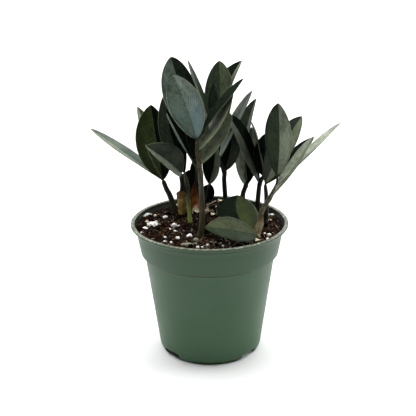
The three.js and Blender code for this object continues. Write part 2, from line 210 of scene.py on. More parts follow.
@dataclass(frozen=True)
class LeafFinish(Finish):
    """One half of a leaflet's face: a waxy skin over faint slanting veins and a sunken midrib, with painted shade
    towards its margin, a painted highlight along its edge and a painted blue sheen towards its stalk.
    """

    pale: Colour
    deep: Colour
    vein: Colour
    edge: Colour
    gloss: float
    roughness: float = 0.46
    # Share of painted blue sheen towards the stalk.
    painted_blue_sheen: float = 0.0
    margin: float = 0.78
    shade: float = 0.5
    veins: float = 9.0
    slant: float = 0.42
    relief: float = 0.00016
    stalk: Colour = (0.02, 0.019, 0.011)
    blue_shares: Colour = (0.5, 0.72, 0.95)

    def material(self) -> Material:
        """Builds the material from the leaflet's own across and along coordinates.

        Returns:
            The finished material.
        """
        tree = self.tree()
        across, along, _ = tree.split(tree.add("UVMap").outputs[0])
        side = tree.times(tree.apart(across, 0.5), 2.0)
        wander = tree.times(tree.minus(tree.noise(70.0, 2.0), 0.5), 0.1)
        lean = tree.times(tree.math("POWER", side, 1.1), self.slant)
        wave = tree.plus(tree.minus(along, lean), wander)
        wave = tree.math("PINGPONG", tree.times(wave, self.veins), 0.5)
        patchy = tree.spread(tree.noise(60.0, 2.0), 0.3, 0.52, 0.3)
        inner = tree.times(patchy, tree.fade(side, 0.7, 0.98))
        vein = tree.times(tree.fade(wave, 0.0, 0.24), inner)
        flank = tree.times(tree.fade(tree.apart(wave, 0.2), 0.0, 0.12), inner)
        midrib = tree.fade(side, 0.0, 0.04)
        blotch = tree.noise(48.0, 5.0, 0.62)
        mottle = tree.math("MULTIPLY_ADD", tree.noise(240.0, 4.0, 0.7), 0.45, tree.times(blotch, 0.55))
        streak = tree.noise((260.0, 260.0, 60.0))
        colour = tree.paint(
            self.deep,
            (tree.spread(mottle, 0.38, 0.6), self.pale),
            (tree.fade(along, 0.05, 0.4, 0.4), self.deep),
            # Painted sheen: a blue tint towards the stalk, standing in for reflected light.
            (tree.fade(along, 0.2, 0.75, self.painted_blue_sheen), tuple(c * b for c, b in zip(self.pale, self.blue_shares))),
            (tree.spread(streak, 0.5, 0.72, 0.0, 0.35), self.vein),
            (tree.times(vein, 0.45), self.deep),
            (tree.times(flank, 0.65), self.vein),
            (tree.times(midrib, 0.5), self.vein),
            # Painted shade: each half darkens towards its margin.
            (tree.spread(side, self.margin, 0.95, 0.0, self.shade), self.deep),
            # Painted highlight: a thin pale rim along the edge, where light catches it.
            (tree.times(tree.spread(side, 0.955, 1.0, 0.0, 0.9), patchy), self.edge),
            (tree.spread(tree.noise(620.0, 2.0), 0.69, 0.73, 0.0, 0.6), self.edge),
            (tree.fade(along, 0.0, 0.07, 0.9), self.stalk),
        )
        pillow = tree.times(tree.math("SINE", tree.times(wave, math.pi)), patchy, 0.7)
        height = tree.plus(tree.minus(pillow, tree.times(midrib, 1.1)), tree.times(blotch, 1.6))
        height = tree.plus(height, tree.times(tree.noise(900.0, 3.0), 0.1))
        dull = tree.spread(tree.noise(120.0), 0.3, 0.75, self.roughness - 0.05, self.roughness + 0.1)
        return tree.finish(colour, dull, self.gloss, height, self.relief)


@dataclass(frozen=True)
class StemFinish(Finish):
    """The skin of a stem: long streaks and dark flecks, paler towards its foot."""

    base: Colour
    streak: Colour
    fleck: Colour
    foot: Colour
    foot_level: float = 0.134

    def material(self) -> Material:
        """Builds the material from the place on the plant.

        Returns:
            The finished material.
        """
        tree = self.tree()
        grain, flecks = tree.noise((900.0, 900.0, 70.0)), tree.noise((650.0, 650.0, 240.0), 2.0)
        low = tree.fade(tree.split(tree.place)[2], self.foot_level - 0.01, self.foot_level + 0.022)
        colour = tree.paint(
            self.base,
            (tree.spread(grain, 0.4, 0.66), self.streak),
            (tree.spread(flecks, 0.6, 0.68, 0.0, 0.75), self.fleck),
            (tree.times(low, 0.8), self.foot),
        )
        return tree.finish(colour, 0.55, 0.15, grain, 0.0004)


@dataclass(frozen=True)
class PotFinish(Finish):
    """Satin moulded plastic with faint flow marks, fine scuffs, a rubbed pale lip and soil dust inside, with painted
    floor light towards the bottom, a painted shadow line under the step, painted shade in the notch recesses and a
    painted highlight on the lip's front.
    """

    base: Colour
    cloudy: Colour
    floor_bounce_light: Colour
    rubbed: Colour
    # Soil dust inside the pot and at the lip, also the colour of the painted shadow line under the step.
    dust_and_shade: Colour
    # Near-black painted shade for the notch recesses.
    recess_shade_colour: Colour = (0.006, 0.009, 0.006)
    lip_level: float = 0.1305
    wall: float = 0.0722
    step_level: float = 0.1
    step_shadow_level: float = 0.0988
    recess_level: float = 0.0058
    recess_radius: float = 0.0474

    def material(self) -> Material:
        """Builds the material from the place on the pot.

        Returns:
            The finished material.
        """
        tree = self.tree()
        _, front, level = tree.split(tree.place)
        outward = tree.vector("DOT_PRODUCT", tree.place, tree.add("NewGeometry").outputs["Normal"]).outputs["Value"]
        radius = tree.vector("LENGTH", tree.vector("MULTIPLY", tree.place, (1.0, 1.0, 0.0)).outputs[0]).outputs["Value"]
        cloud, flow = tree.noise((14.0, 14.0, 30.0)), tree.noise((120.0, 120.0, 9.0), 3.0)
        scuff = tree.spread(tree.noise((300.0, 300.0, 420.0), 5.0, 0.7), 0.66, 0.76, 0.0, 0.3)
        worn = tree.spread(tree.noise(300.0, 5.0, 0.75), 0.42, 0.6)
        lip = tree.spread(level, self.lip_level - 0.0009, self.lip_level - 0.0001)
        inside = tree.times(
            tree.fade(radius, self.wall - 0.0002, self.wall + 0.0006),
            tree.spread(level, self.step_level, self.step_level + 0.004),
            tree.fade(outward, -0.01, 0.03),
        )
        grime = tree.spread(tree.noise(330.0, 4.0, 0.7), 0.4, 0.6, 0.85)
        specks = tree.spread(tree.noise(520.0, 3.0, 0.7), 0.64, 0.69)
        near_lip = tree.spread(level, self.lip_level - 0.012, self.lip_level - 0.001, 0.05, 0.9)
        # Dark dust smeared on the lip top, weaker at the front, where the lighter lip is a painted highlight as well as
        # real wear.
        lip_smear_and_front_highlight = tree.times(
            tree.spread(tree.noise(180.0, 4.0, 0.7), 0.4, 0.62, 0.0, 0.75),
            tree.spread(level, self.lip_level - 0.0028, self.lip_level - 0.001),
            tree.spread(front, -0.06, -0.01, 0.3),
        )
        # Painted shade: near black low in the notch recesses.
        painted_recess_shade = tree.times(
            tree.fade(level, self.recess_level, self.recess_level + 0.0002),
            tree.fade(radius, self.recess_radius, self.recess_radius + 0.0004),
        )
        colour = tree.paint(
            self.base,
            (tree.spread(cloud, 0.3, 0.7), self.cloudy),
            # Painted light: lighter towards the bottom, standing in for light bounced up from the floor.
            (tree.fade(level, 0.0, 0.085, 0.6), self.floor_bounce_light),
            (
                tree.spread(level, self.step_level - 0.001, self.step_level + 0.001, 0.0, 0.6),
                tuple(c * 0.75 for c in self.base),
            ),
            (tree.times(scuff, tree.spread(cloud, 0.5, 0.6)), self.rubbed),
            # Rubbed pale lip: real wear, a little stronger at the front as a painted highlight.
            (tree.times(lip, worn, tree.spread(front, -0.075, -0.01, 0.45, 0.4)), self.rubbed),
            (tree.times(inside, grime), self.dust_and_shade),
            (tree.times(specks, near_lip), self.dust_and_shade),
            (lip_smear_and_front_highlight, self.dust_and_shade),
            # Painted shadow: a dark line just under the step's edge.
            (tree.fade(tree.apart(level, self.step_shadow_level), 0.0004, 0.0012, 0.75), self.dust_and_shade),
            (painted_recess_shade, self.recess_shade_colour),
        )
        height = tree.plus(tree.times(tree.noise(2600.0, 2.0), 0.15), flow)
        return tree.finish(colour, tree.spread(cloud, 0.3, 0.7, 0.42, 0.54), 0.3, height, 0.00025)


@dataclass(frozen=True)
class CrumbFinish(Finish):
    """Loose matter whose colour comes from each crumb's own shade, with a fine grain over it."""

    roughness: float
    grain_scale: float
    relief: float

    def material(self) -> Material:
        """Builds the material from the shade layer and the place on the mix.

        Returns:
            The finished material.
        """
        tree = self.tree()
        shade = tree.add("Attribute", attribute_name="shade", attribute_type="GEOMETRY").outputs["Color"]
        grain = tree.noise(self.grain_scale, 5.0, 0.65)
        light = tree.add("CombineXYZ", dict.fromkeys(range(3), tree.spread(grain, 0.32, 0.7, 0.35, 1.6))).outputs[0]
        return tree.finish(tree.mix(1.0, shade, light, "MULTIPLY"), self.roughness, 0.06, grain, self.relief)


@dataclass(frozen=True)
class LumpFinish(Finish):
    """Pitted mineral, for perlite and for stones."""

    base: Colour
    pit: Colour
    pit_scale: float = 700.0
    relief: float = 0.0004

    def material(self) -> Material:
        """Builds the material from the place on the mix.

        Returns:
            The finished material.
        """
        tree = self.tree()
        pits = tree.add("TexVoronoi", {"Vector": tree.place, "Scale": self.pit_scale}).outputs["Distance"]
        cloud = tree.noise(330.0, 5.0, 0.6)
        colour = tree.paint(
            self.base,
            (tree.spread(cloud, 0.58, 0.75, 0.0, 0.6), self.pit),
            (tree.fade(pits, 0.0, 0.2, 0.4), self.pit),
        )
        return tree.finish(colour, 0.85, 0.5, tree.plus(tree.spread(pits, 0.0, 0.4), cloud), self.relief)


@dataclass(frozen=True)
class SheathFinish(Finish):
    """Dry papery skin with long fibres, darker ragged edges and a withered top."""

    base: Colour
    fibre: Colour
    edge: Colour

    def material(self) -> Material:
        """Builds the material from the sheet's own across and along coordinates.

        Returns:
            The finished material.
        """
        tree = self.tree()
        sheet = tree.add("UVMap").outputs[0]
        across, along, _ = tree.split(sheet)
        fibres = tree.noise((34.0, 2.2, 1.0), 4.0, 0.6, sheet)
        withered = tree.plus(along, tree.times(tree.noise(180.0, 3.0), 0.5))
        colour = tree.paint(
            self.base,
            (tree.spread(fibres, 0.35, 0.65), self.fibre),
            (tree.spread(tree.noise(300.0), 0.5, 0.66, 0.0, 0.5), self.edge),
            (tree.spread(tree.apart(across, 0.5), 0.4, 0.5, 0.0, 0.6), self.edge),
            (tree.spread(withered, 0.75, 1.1, 0.0, 0.85), self.edge),
        )
        return tree.finish(colour, 0.75, 0.08, fibres, 0.0006)


class Tone(Enum):
    """The tones of half a leaflet's upper face: partly its own colour, mostly lit and shaded copies of it that paint
    the light and shade each half catches, the palest a painted sheen. Each holds its colour, how far its veins are
    lifted, gloss, and painted blue sheen at its stalk.
    """

    COAL = (0.0025, 0.004, 0.0025), 0.02, 0.0, 0.0
    NIGHT = (0.008, 0.013, 0.008), 0.04, 0.0, 0.0
    FOREST = (0.017, 0.026, 0.014), 0.06, 0.05, 0.0
    SOOT = (0.03, 0.036, 0.027), 0.08, 0.04, 0.0
    OLIVE = (0.03, 0.042, 0.01), 0.07, 0.05, 0.0
    MOSS = (0.042, 0.053, 0.024), 0.1, 0.06, 0.0
    ASH = (0.056, 0.065, 0.042), 0.12, 0.06, 0.0
    SAGE = (0.125, 0.145, 0.092), 0.15, 0.03, 0.0
    SLATE = (0.062, 0.086, 0.067), 0.24, 0.05, 0.4
    STEEL = (0.112, 0.142, 0.122), 0.3, 0.08, 0.8
    MIST = (0.145, 0.165, 0.12), 0.2, 0.04, 0.0
    FROST = (0.3, 0.335, 0.25), 0.25, 0.1, 0.0

    def finish(self) -> LeafFinish:
        """Works out the tone's finish: an olive leaf darkens from near its midrib out, others only at their margin, as
        painted shade.

        Returns:
            The finish.
        """
        base, lift, gloss, painted_blue_sheen = self.value
        pale, deep = Vector(base) * PALE_SHARE, Vector(base) * DEEP_SHARE
        vein, edge = pale.lerp(PALE_VEIN, lift * VEIN_LIFT), pale.lerp(PALE_EDGE, lift * EDGE_LIFT)
        margin, shade = OLIVE_MARGIN if self is OLIVE else PLAIN_MARGIN
        colours = (tuple(c) for c in (pale, deep, vein, edge))
        return LeafFinish("leaf_" + self.name.lower(), *colours, gloss, painted_blue_sheen=painted_blue_sheen, margin=margin, shade=shade)


COAL, NIGHT, FOREST, SOOT, OLIVE, MOSS, ASH, SAGE, SLATE, STEEL, MIST, FROST = Tone
# PALE_EDGE and EDGE_LIFT set the painted highlight along each leaflet's edge, also the colour of the pale flecks.
PALE_SHARE, DEEP_SHARE, VEIN_LIFT, EDGE_LIFT = 1.45, 0.52, 1.4, 3.0
PALE_VEIN, PALE_EDGE = Vector((0.24, 0.29, 0.21)), Vector((0.32, 0.36, 0.24))
# Where the painted shade towards the margin starts, and how strong it is.
PLAIN_MARGIN, OLIVE_MARGIN = (0.78, 0.5), (0.15, 0.9)

LEAF_UNDER = LeafFinish(
    "leaf_under", (0.05, 0.064, 0.045), (0.03, 0.04, 0.028), (0.09, 0.11, 0.075), (0.14, 0.16, 0.1), 0.05, 0.55
)
STEM_DARK = StemFinish(
    "stem_dark", (0.022, 0.02, 0.009), (0.07, 0.062, 0.034), (0.008, 0.008, 0.005), (0.062, 0.066, 0.026)
)
STEM_GREEN = StemFinish(
    "stem_green", (0.02, 0.021, 0.01), (0.055, 0.06, 0.022), (0.01, 0.011, 0.006), (0.34, 0.44, 0.11), 0.133
)
STEM_THIN = StemFinish(
    "stem_thin", (0.006, 0.006, 0.004), (0.018, 0.018, 0.012), (0.005, 0.005, 0.004), (0.05, 0.055, 0.025)
)
STEM_BUFF = StemFinish(
    "stem_buff", (0.04, 0.038, 0.022), (0.11, 0.1, 0.06), (0.02, 0.018, 0.011), (0.3, 0.25, 0.12)
)
POT_GREEN = PotFinish(
    "pot_green", (0.034, 0.077, 0.038), (0.045, 0.09, 0.05), (0.052, 0.118, 0.057), (0.62, 0.59, 0.48),
    (0.009, 0.008, 0.005),
)
PAPERY = SheathFinish("sheath_papery", (0.55, 0.36, 0.09), (0.88, 0.68, 0.3), (0.12, 0.055, 0.018))
BUFF = SheathFinish("sheath_buff", (0.42, 0.36, 0.2), (0.6, 0.52, 0.32), (0.14, 0.11, 0.05))
RUSTY = SheathFinish("sheath_rusty", (0.42, 0.15, 0.045), (0.6, 0.26, 0.09), (0.16, 0.05, 0.018))
BRACT = SheathFinish("bract_dark", (0.005, 0.005, 0.003), (0.012, 0.011, 0.007), (0.003, 0.003, 0.002))
CREAM = SheathFinish("scrap_cream", (0.78, 0.7, 0.5), (0.9, 0.84, 0.66), (0.42, 0.33, 0.18))
PERLITE = LumpFinish("perlite_white", (0.99, 0.985, 0.96), (0.74, 0.67, 0.57), 900.0, 0.00025)
STONE = LumpFinish("stone_grey", (0.21, 0.21, 0.16), (0.1, 0.09, 0.065))
# Near-black painted shade for the notches' cut faces.
NOTCH_SHADE = LumpFinish("notch_shade", (0.004, 0.006, 0.004), (0.002, 0.003, 0.002))
GROUND = CrumbFinish("mix_ground", 0.95, 900.0, 0.0012)
CRUMB = CrumbFinish("mix_crumbs", 0.9, 1500.0, 0.0006)


@cache
def material_of(finish: Finish) -> Material:
    """Returns a finish's material, which is built once."""
    return finish.material()


# Meshes


class Draft:
    """A mesh being drawn in millimetres: corners, faces, finishes, coordinates and shades."""

    def __init__(self) -> None:
        """Starts empty."""
        self.corners: list[Vector] = []
        self.faces: list[tuple[int, ...]] = []
        self.finishes: list[int] = []
        self.coordinates: list[Pair] = []
        self.shades: list[Colour] = []

    def corner(self, place: Vector, across: float = 0.0, along: float = 0.0, shade: Colour = (1, 1, 1)) -> int:
        """Adds a corner.

        Args:
            place: Where it stands, in millimetres.
            across: Its coordinate across the form, 0 to 1.
            along: Its coordinate along the form, 0 to 1.
            shade: Its own colour, for loose matter.

        Returns:
            Its number.
        """
        self.corners.append(place)
        self.coordinates.append((across, along))
        self.shades.append(shade)
        return len(self.corners) - 1

    def face(self, *corners: int, finish: int = 0, turned: bool = False) -> None:
        """Adds a face over corners that stand anticlockwise from outside, or clockwise if turned."""
        self.faces.append(corners[::-1] if turned else corners)
        self.finishes.append(finish)

    def sheet(self, rows: list[list[int]], closed: bool = False, finish: int = 0, turned: bool = False) -> None:
        """Fills a grid of corners with quads.

        Args:
            rows: The corners' numbers, row by row.
            closed: True if each row joins its last corner to its first.
            finish: The faces' finish.
            turned: True to face the other way.
        """
        for low, high in zip(rows, rows[1:]):
            count = len(low)
            for j in range(count if closed else count - 1):
                k = (j + 1) % count
                self.face(low[j], low[k], high[k], high[j], finish=finish, turned=turned)

    def slab(
        self, grid: list[list[tuple[Vector, Vector, float, float]]], halves: tuple[int, int] = (0, 0), rest: int = 0
    ) -> None:
        """Draws a thin sheet: both faces and the edge round them.

        Args:
            grid: Row by row, where the upper and the lower corner stand, and their coordinates.
            halves: The finishes of the upper face's left and right halves.
            rest: The finish of the lower face and of the edge.
        """
        top, low = ([[self.corner(place[side], *place[2:]) for place in row] for row in grid] for side in (0, 1))
        middle = len(grid[0]) // 2
        self.sheet([row[: middle + 1] for row in top], finish=halves[0])
        self.sheet([row[middle:] for row in top], finish=halves[1])
        self.sheet(low, finish=rest, turned=True)
        for end, turned in ((0, True), (-1, False)):
            self.sheet([[row[end] for row in low], [row[end] for row in top]], finish=rest, turned=turned)
            self.sheet([low[end], top[end]], finish=rest, turned=not turned)

    def ring(self, radius: float, height: float, sides: int) -> list[int]:
        """Adds a level ring of corners and returns their numbers."""
        return [self.corner(Vector((radius * x, radius * y, height))) for x, y in compass(sides)]

    def fan(self, middle: int, ring: list[int], turned: bool = False) -> None:
        """Closes a ring of corners by a fan about a middle one."""
        for first, second in zip(ring, ring[1:] + ring[:1]):
            self.face(middle, first, second, turned=turned)

    def lump(
        self, points: list[Vector], faces: list[tuple[int, ...]], place: Matrix, shade: Colour = (1, 1, 1)
    ) -> None:
        """Adds a closed form.

        Args:
            points: Its corners.
            faces: Its faces, as numbers of those corners.
            place: Where it goes.
            shade: Its colour.
        """
        start = len(self.corners)
        for point in points:
            self.corner(place @ point, shade=shade)
        for around in faces:
            self.face(*(start + i for i in around))

    def piece(self, name: str, *finishes: Finish) -> bpy.types.Object:
        """Makes the object in metres and links it to the scene.

        Args:
            name: The object's name.
            finishes: What the faces' finish numbers stand for.

        Returns:
            The new object.
        """
        mesh = bpy.data.meshes.new(name)
        mesh.from_pydata([p * MM for p in self.corners], [], self.faces)
        for finish in finishes:
            mesh.materials.append(material_of(finish))
        mesh.polygons.foreach_set("material_index", self.finishes)
        mesh.polygons.foreach_set("use_smooth", [True] * len(self.faces))
        layer = mesh.uv_layers.new(name="UVMap")
        shade = mesh.color_attributes.new("shade", "FLOAT_COLOR", "POINT")
        layer.data.foreach_set("uv", [c for loop in mesh.loops for c in self.coordinates[loop.vertex_index]])
        shade.data.foreach_set("color", [c for one in self.shades for c in (*one, 1.0)])
        mesh.update()
        return linked(name, mesh)


def linked(name: str, data: bpy.types.ID) -> bpy.types.Object:
    """Makes an object of some data and links it to the scene.

    Args:
        name: The object's name.
        data: The mesh, lamp or camera that it shows.

    Returns:
        The new object.
    """
    made = bpy.data.objects.new(name, data)
    bpy.context.scene.collection.objects.link(made)
    return made


def ride(piece: bpy.types.Object, slot: str, *nodes: str) -> None:
    """Fastens a piece to the plant's body, hides the solids that it stands for and logs its faces.

    Args:
        piece: The piece.
        slot: The record's material slot that it belongs to; not used.
        nodes: The solids that it replaces.
    """
    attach(piece, ROOT)
    if nodes:
        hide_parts(*nodes)
    log.info("%s: %d faces", piece.name, len(piece.data.polygons))


def sharpen(mesh: bpy.types.Mesh, angle: float) -> None:
    """Marks each edge sharper than an angle as hard.

    Args:
        mesh: The mesh.
        angle: The angle in degrees.
    """
    draft = bmesh.new()
    draft.from_mesh(mesh)
    for edge in draft.edges:
        edge.smooth = edge.calc_face_angle(0.0) < math.radians(angle)
    draft.to_mesh(mesh)
    draft.free()


def ball(splits: int) -> tuple[list[Vector], list[tuple[int, ...]]]:
    """Makes a ball of radius 1.

    Args:
        splits: How fine it is.

    Returns:
        Its corners and its faces.
    """
    tool = bmesh.new()
    bmesh.ops.create_icosphere(tool, subdivisions=splits, radius=1.0)
    points, faces = [v.co.copy() for v in tool.verts], [tuple(v.index for v in f.verts) for f in tool.faces]
    tool.free()
    return points, faces


def compass(sides: int) -> list[Pair]:
    """Returns the x and y of each corner of a regular form of radius 1."""
    turns = [2 * math.pi * k / sides for k in range(sides)]
    return [(math.cos(turn), math.sin(turn)) for turn in turns]


def rotation(degrees: float, axis: str) -> Matrix:
    """Returns a turn by degrees about an axis."""
    return Matrix.Rotation(math.radians(degrees), 4, axis)


def through(points: list[Vector], share: float) -> Vector:
    """Finds a point on a smooth curve through points.

    Args:
        points: The points.
        share: How far along the curve, 0 to 1.

    Returns:
        The point there.
    """
    reach = share * (len(points) - 1)
    step = min(int(reach), len(points) - 2)
    t = reach - step
    before = points[step - 1] if step else points[0] * 2 - points[1]
    after = points[step + 2] if step + 2 < len(points) else points[-1] * 2 - points[-2]
    a, b = points[step], points[step + 1]
    bend = (before * 2 - a * 5 + b * 4 - after) * t * t + (a * 3 - before - b * 3 + after) * t * t * t
    return (a * 2 + (b - before) * t + bend) / 2


def ease(low: float, high: float, value: float) -> float:
    """Returns 0 below low, 1 above high and a smooth step between."""
    t = max(0.0, min(1.0, (value - low) / (high - low)))
    return t * t * (3 - 2 * t)


def tube(draft: Draft, points: list[Vector], radii: list[float], sides: int, shade: Colour = (1, 1, 1)) -> None:
    """Draws a closed round rod.

    Args:
        draft: The mesh that it goes into.
        points: The middle of each ring.
        radii: Each ring's radius.
        sides: How many sides it has.
        shade: Its colour.
    """
    rows = []
    side = Vector((1, 0, 0))
    for i, point in enumerate(points):
        ahead = (points[min(i + 1, len(points) - 1)] - points[max(i - 1, 0)]).normalized()
        side = (side - ahead * side.dot(ahead)).normalized() if abs(side.dot(ahead)) < 0.98 else ahead.orthogonal()
        other = ahead.cross(side)
        rows.append([
            draft.corner(point + (side * x + other * y) * radii[i], k / sides, i / (len(points) - 1), shade)
            for k, (x, y) in enumerate(compass(sides))
        ])
    draft.sheet(rows, closed=True)
    draft.face(*rows[0], turned=True)
    draft.face(*rows[-1])


# The pot


@dataclass
class NurseryPot:
    """A moulded pot with a rolled lip, a band below it, a step and low drain notches."""

    sides: int = 168
    floor: float = 3.0
    corner_radius: float = 0.45
    hard_angle: float = 32.0
    notch_width: float = 20.0
    notch_reach: float = 56.0
    notches: tuple[Point, ...] = ((-140.0, 47.2, 7.0), (-40.0, 38.0, 5.8), (90.0, 38.0, 5.8))
    outside: tuple[Pair, ...] = (
        (75.2, 130.5), (76.2, 130.0), (76.2, 128.5), (74.0, 127.3), (71.5, 124.5), (70.4, 120.5), (69.8, 116.5),
        (66.9, 101.0), (66.3, 100.3), (63.4, 99.5), (50.2, 6.0), (49.6, 4.0), (48.6, 2.0), (46.5, 0.5), (45.5, 0.0),
    )
    inside: tuple[Pair, ...] = (
        (46.4, 3.0), (48.0, 4.6), (61.5, 99.5), (65.1, 101.6), (68.2, 117.0), (69.2, 122.0), (71.8, 127.4),
        (72.4, 130.2),
    )

    def profile(self) -> list[Pair]:
        """Rounds the corners of the wall's outline, from the floor's edge round to the underside's.

        Returns:
            The radius and height of each point.
        """
        corners = [(0.0, self.floor), *self.inside, *self.outside, (0.0, 0.0)]
        line = []
        for before, here, after in zip(corners, corners[1:], corners[2:]):
            back, ahead = math.dist(before, here), math.dist(here, after)
            reach = min(self.corner_radius, back * 0.35, ahead * 0.35)
            start = [h + (b - h) * reach / back for b, h in zip(before, here)]
            end = [h + (a - h) * reach / ahead for a, h in zip(after, here)]
            for t in (0.0, 0.33, 0.67, 1.0):
                shares = ((1 - t) ** 2, 2 * t * (1 - t), t * t)
                line.append(tuple(s * shares[0] + h * shares[1] + e * shares[2] for s, h, e in zip(start, here, end)))
        return line

    def shell(self) -> bpy.types.Object:
        """Draws the wall and floor as one turned form.

        Returns:
            The pot, before its notches are cut.
        """
        draft = Draft()
        rows = [draft.ring(radius, height, self.sides) for radius, height in self.profile()]
        draft.sheet(rows, closed=True, turned=True)
        draft.fan(draft.corner(Vector((0.0, 0.0, self.floor))), rows[0])
        draft.fan(draft.corner(Vector((0.0, 0.0, 0.0))), rows[-1], turned=True)
        return draft.piece("nursery_pot", POT_GREEN, NOTCH_SHADE)

    def notch_blocks(self) -> bpy.types.Object:
        """Draws the blocks that the drain notches are cut with, whose faces give the cuts a near-black painted shade.

        Returns:
            The blocks.
        """
        tool = bmesh.new()
        for turn, inner, height in self.notches:
            depth = self.notch_reach - inner
            size = Matrix.Diagonal((depth, self.notch_width, 2 * height, 1.0))
            place = rotation(turn, "Z") @ Matrix.Translation((inner + depth / 2, 0.0, 0.0))
            bmesh.ops.create_cube(tool, size=1.0, matrix=Matrix.Scale(MM, 4) @ place @ size)
        for face in tool.faces:
            face.material_index = 1
        mesh = bpy.data.meshes.new("notch_blocks")
        tool.to_mesh(mesh)
        tool.free()
        for _ in range(2):
            mesh.materials.append(None)
        return linked("notch_blocks", mesh)

    def build(self) -> None:
        """Builds the pot, cuts its notches and dresses it."""
        pot, blocks = self.shell(), self.notch_blocks()
        cut = pot.modifiers.new("notches", "BOOLEAN")
        cut.operation, cut.object, cut.solver = "DIFFERENCE", blocks, "EXACT"
        done = bpy.data.meshes.new_from_object(pot.evaluated_get(bpy.context.evaluated_depsgraph_get()))
        pot.modifiers.clear()
        pot.data = done
        bpy.data.objects.remove(blocks)
        sharpen(pot.data, self.hard_angle)
        ride(pot, "pot", "pot")


# The potting mix and what lies in it


@dataclass
class PottingMix:
    """Peat and bark that fill the pot, with crumbs, fibres and white grains on top."""

    edge_radius: float = 70.5
    floor: float = 3.3
    floor_radius: float = 45.8
    step_radius: float = 61.2
    step_level: float = 99.5
    rings: int = 84
    sides: int = 220
    crumbs: int = 3300
    clods: int = 340
    bark: int = 420
    grains: int = 430
    chips: int = 110
    fibres: int = 130
    twig_rings: int = 13
    templates: int = 12
    fine_size: float = 3.5
    tilt: float = 0.45
    rim: float = 2.5
    fibre_rim: float = 6.0
    browns: tuple[Colour, ...] = (
        (0.002, 0.0013, 0.0008), (0.006, 0.0032, 0.0016), (0.02, 0.0095, 0.0042), (0.065, 0.032, 0.015),
        (0.2, 0.115, 0.06),
    )
    whites: tuple[Colour, ...] = ((0.95, 0.93, 0.88), (0.8, 0.75, 0.66), (0.5, 0.41, 0.29))
    greys: tuple[Colour, ...] = ((0.09, 0.09, 0.055), (0.2, 0.19, 0.12), (0.36, 0.33, 0.23), (0.03, 0.028, 0.018))
    straw: Colour = (0.3, 0.2, 0.11)
    chip_span: Span = (-16.0, 42.0, -66.0, -36.0)
    # Painted shade where the foliage shades the mix: middle x and y, reach, and least share of brightness.
    foliage_shade_patches: tuple[Span, ...] = (
        (-5, -12, 22, 0.2), (18, -38, 20, 0.25), (8, 46, 26, 0.3), (-30, 38, 24, 0.5),
    )
    foliage_shade_rim: Pair = (0.4, 1.3)
    twigs: tuple[tuple[tuple[Point, ...], float, Colour], ...] = (
        (((-3, 44, 127), (5, 50, 131), (13, 55, 134.5), (24, 60, 136.5)), 0.35, (0.015, 0.013, 0.009)),
        (((-3, 54, 127), (1, 59, 127.5), (7, 66, 128)), 0.4, (0.35, 0.3, 0.2)),
        (((58, 12, 126.6), (60, 4, 128), (62, -5, 127)), 0.4, (0.05, 0.035, 0.02)),
        (((-58, -14, 127), (-50, -20, 128.5), (-46, -27, 127)), 0.35, (0.09, 0.06, 0.035)),
    )
    rng: random.Random = field(default_factory=lambda: random.Random(7))

    def height(self, x: float, y: float) -> float:
        """Works out the mix's rough top.

        Args:
            x: The place, to the right of the pot's axis.
            y: The place, behind the pot's axis.

        Returns:
            The level of the top there.
        """
        swell = 0.8 * math.sin(0.11 * x + 0.6) * math.cos(0.09 * y - 0.4)
        clods = 0.6 * math.sin(0.37 * x - 0.21 * y + 1.1) + 0.5 * math.cos(0.29 * y + 0.43 * x)
        fade = max(0.0, 1 - (math.hypot(x, y) / self.edge_radius) ** 4)
        rough = 1.9 * noise.fractal(Vector((x, y, 3.0)) * 0.16, 1.0, 2.0, 5)
        return MIX_LEVEL + ((swell + clods) * fade + rough * min(1.0, fade + 0.35))

    def painted_foliage_shade(self, x: float, y: float) -> float:
        """Works out how bright the mix is under the painted shade of the foliage, darker round the stems.

        Args:
            x: The place, to the right of the pot's axis.
            y: The place, behind the pot's axis.

        Returns:
            The share of its brightness that it keeps there.
        """
        share = 1.0
        for middle_x, middle_y, reach, least in self.foliage_shade_patches:
            share *= least + (1 - least) * ease(*self.foliage_shade_rim, math.hypot(x - middle_x, y - middle_y) / reach)
        return share

    def ground(self, draft: Draft, x: float, y: float) -> int:
        """Adds a corner of the rough top, in the brown that it has there, darkened by the painted foliage shade.

        Args:
            draft: The mesh that it goes into.
            x: The place, to the right of the pot's axis.
            y: The place, behind the pot's axis.

        Returns:
            The corner's number.
        """
        share = 0.5 + 0.5 * noise.fractal(Vector((x, y, 9.0)) * 0.22, 1.0, 2.0, 4)
        brown = Vector(self.browns[0]).lerp(Vector(self.browns[2]), max(0.0, min(1.0, share)))
        return draft.corner(Vector((x, y, self.height(x, y))), shade=tuple(brown * self.painted_foliage_shade(x, y)))

    def body(self) -> None:
        """Draws the body of the mix, rough on top and plain where the pot hides it."""
        draft = Draft()
        steps = [self.edge_radius * (i + 1) / self.rings for i in range(self.rings)]
        rows = [[self.ground(draft, step * x, step * y) for x, y in compass(self.sides)] for step in steps]
        rows.append(draft.ring(self.step_radius, self.step_level, self.sides))
        rows.append(draft.ring(self.floor_radius, self.floor, self.sides))
        draft.sheet(rows, closed=True, turned=True)
        draft.fan(self.ground(draft, 0.0, 0.0), rows[0])
        draft.fan(draft.corner(Vector((0, 0, self.floor))), rows[-1], turned=True)
        ride(draft.piece("potting_mix_body", GROUND), "mix", "potting_mix")

    def spot(self, reach: float) -> Pair:
        """Returns a random place on the mix within a reach of its middle."""
        turn, radius = self.rng.uniform(0, 2 * math.pi), reach * math.sqrt(self.rng.random())
        return radius * math.cos(turn), radius * math.sin(turn)

    def pebble(self, splits: int) -> tuple[list[Vector], list[tuple[int, ...]]]:
        """Returns the corners and faces of a rough crumb of unit size, finer the more splits it has."""
        points, faces = ball(splits)
        return [p / 2 * self.rng.uniform(0.72, 1.15) for p in points], faces

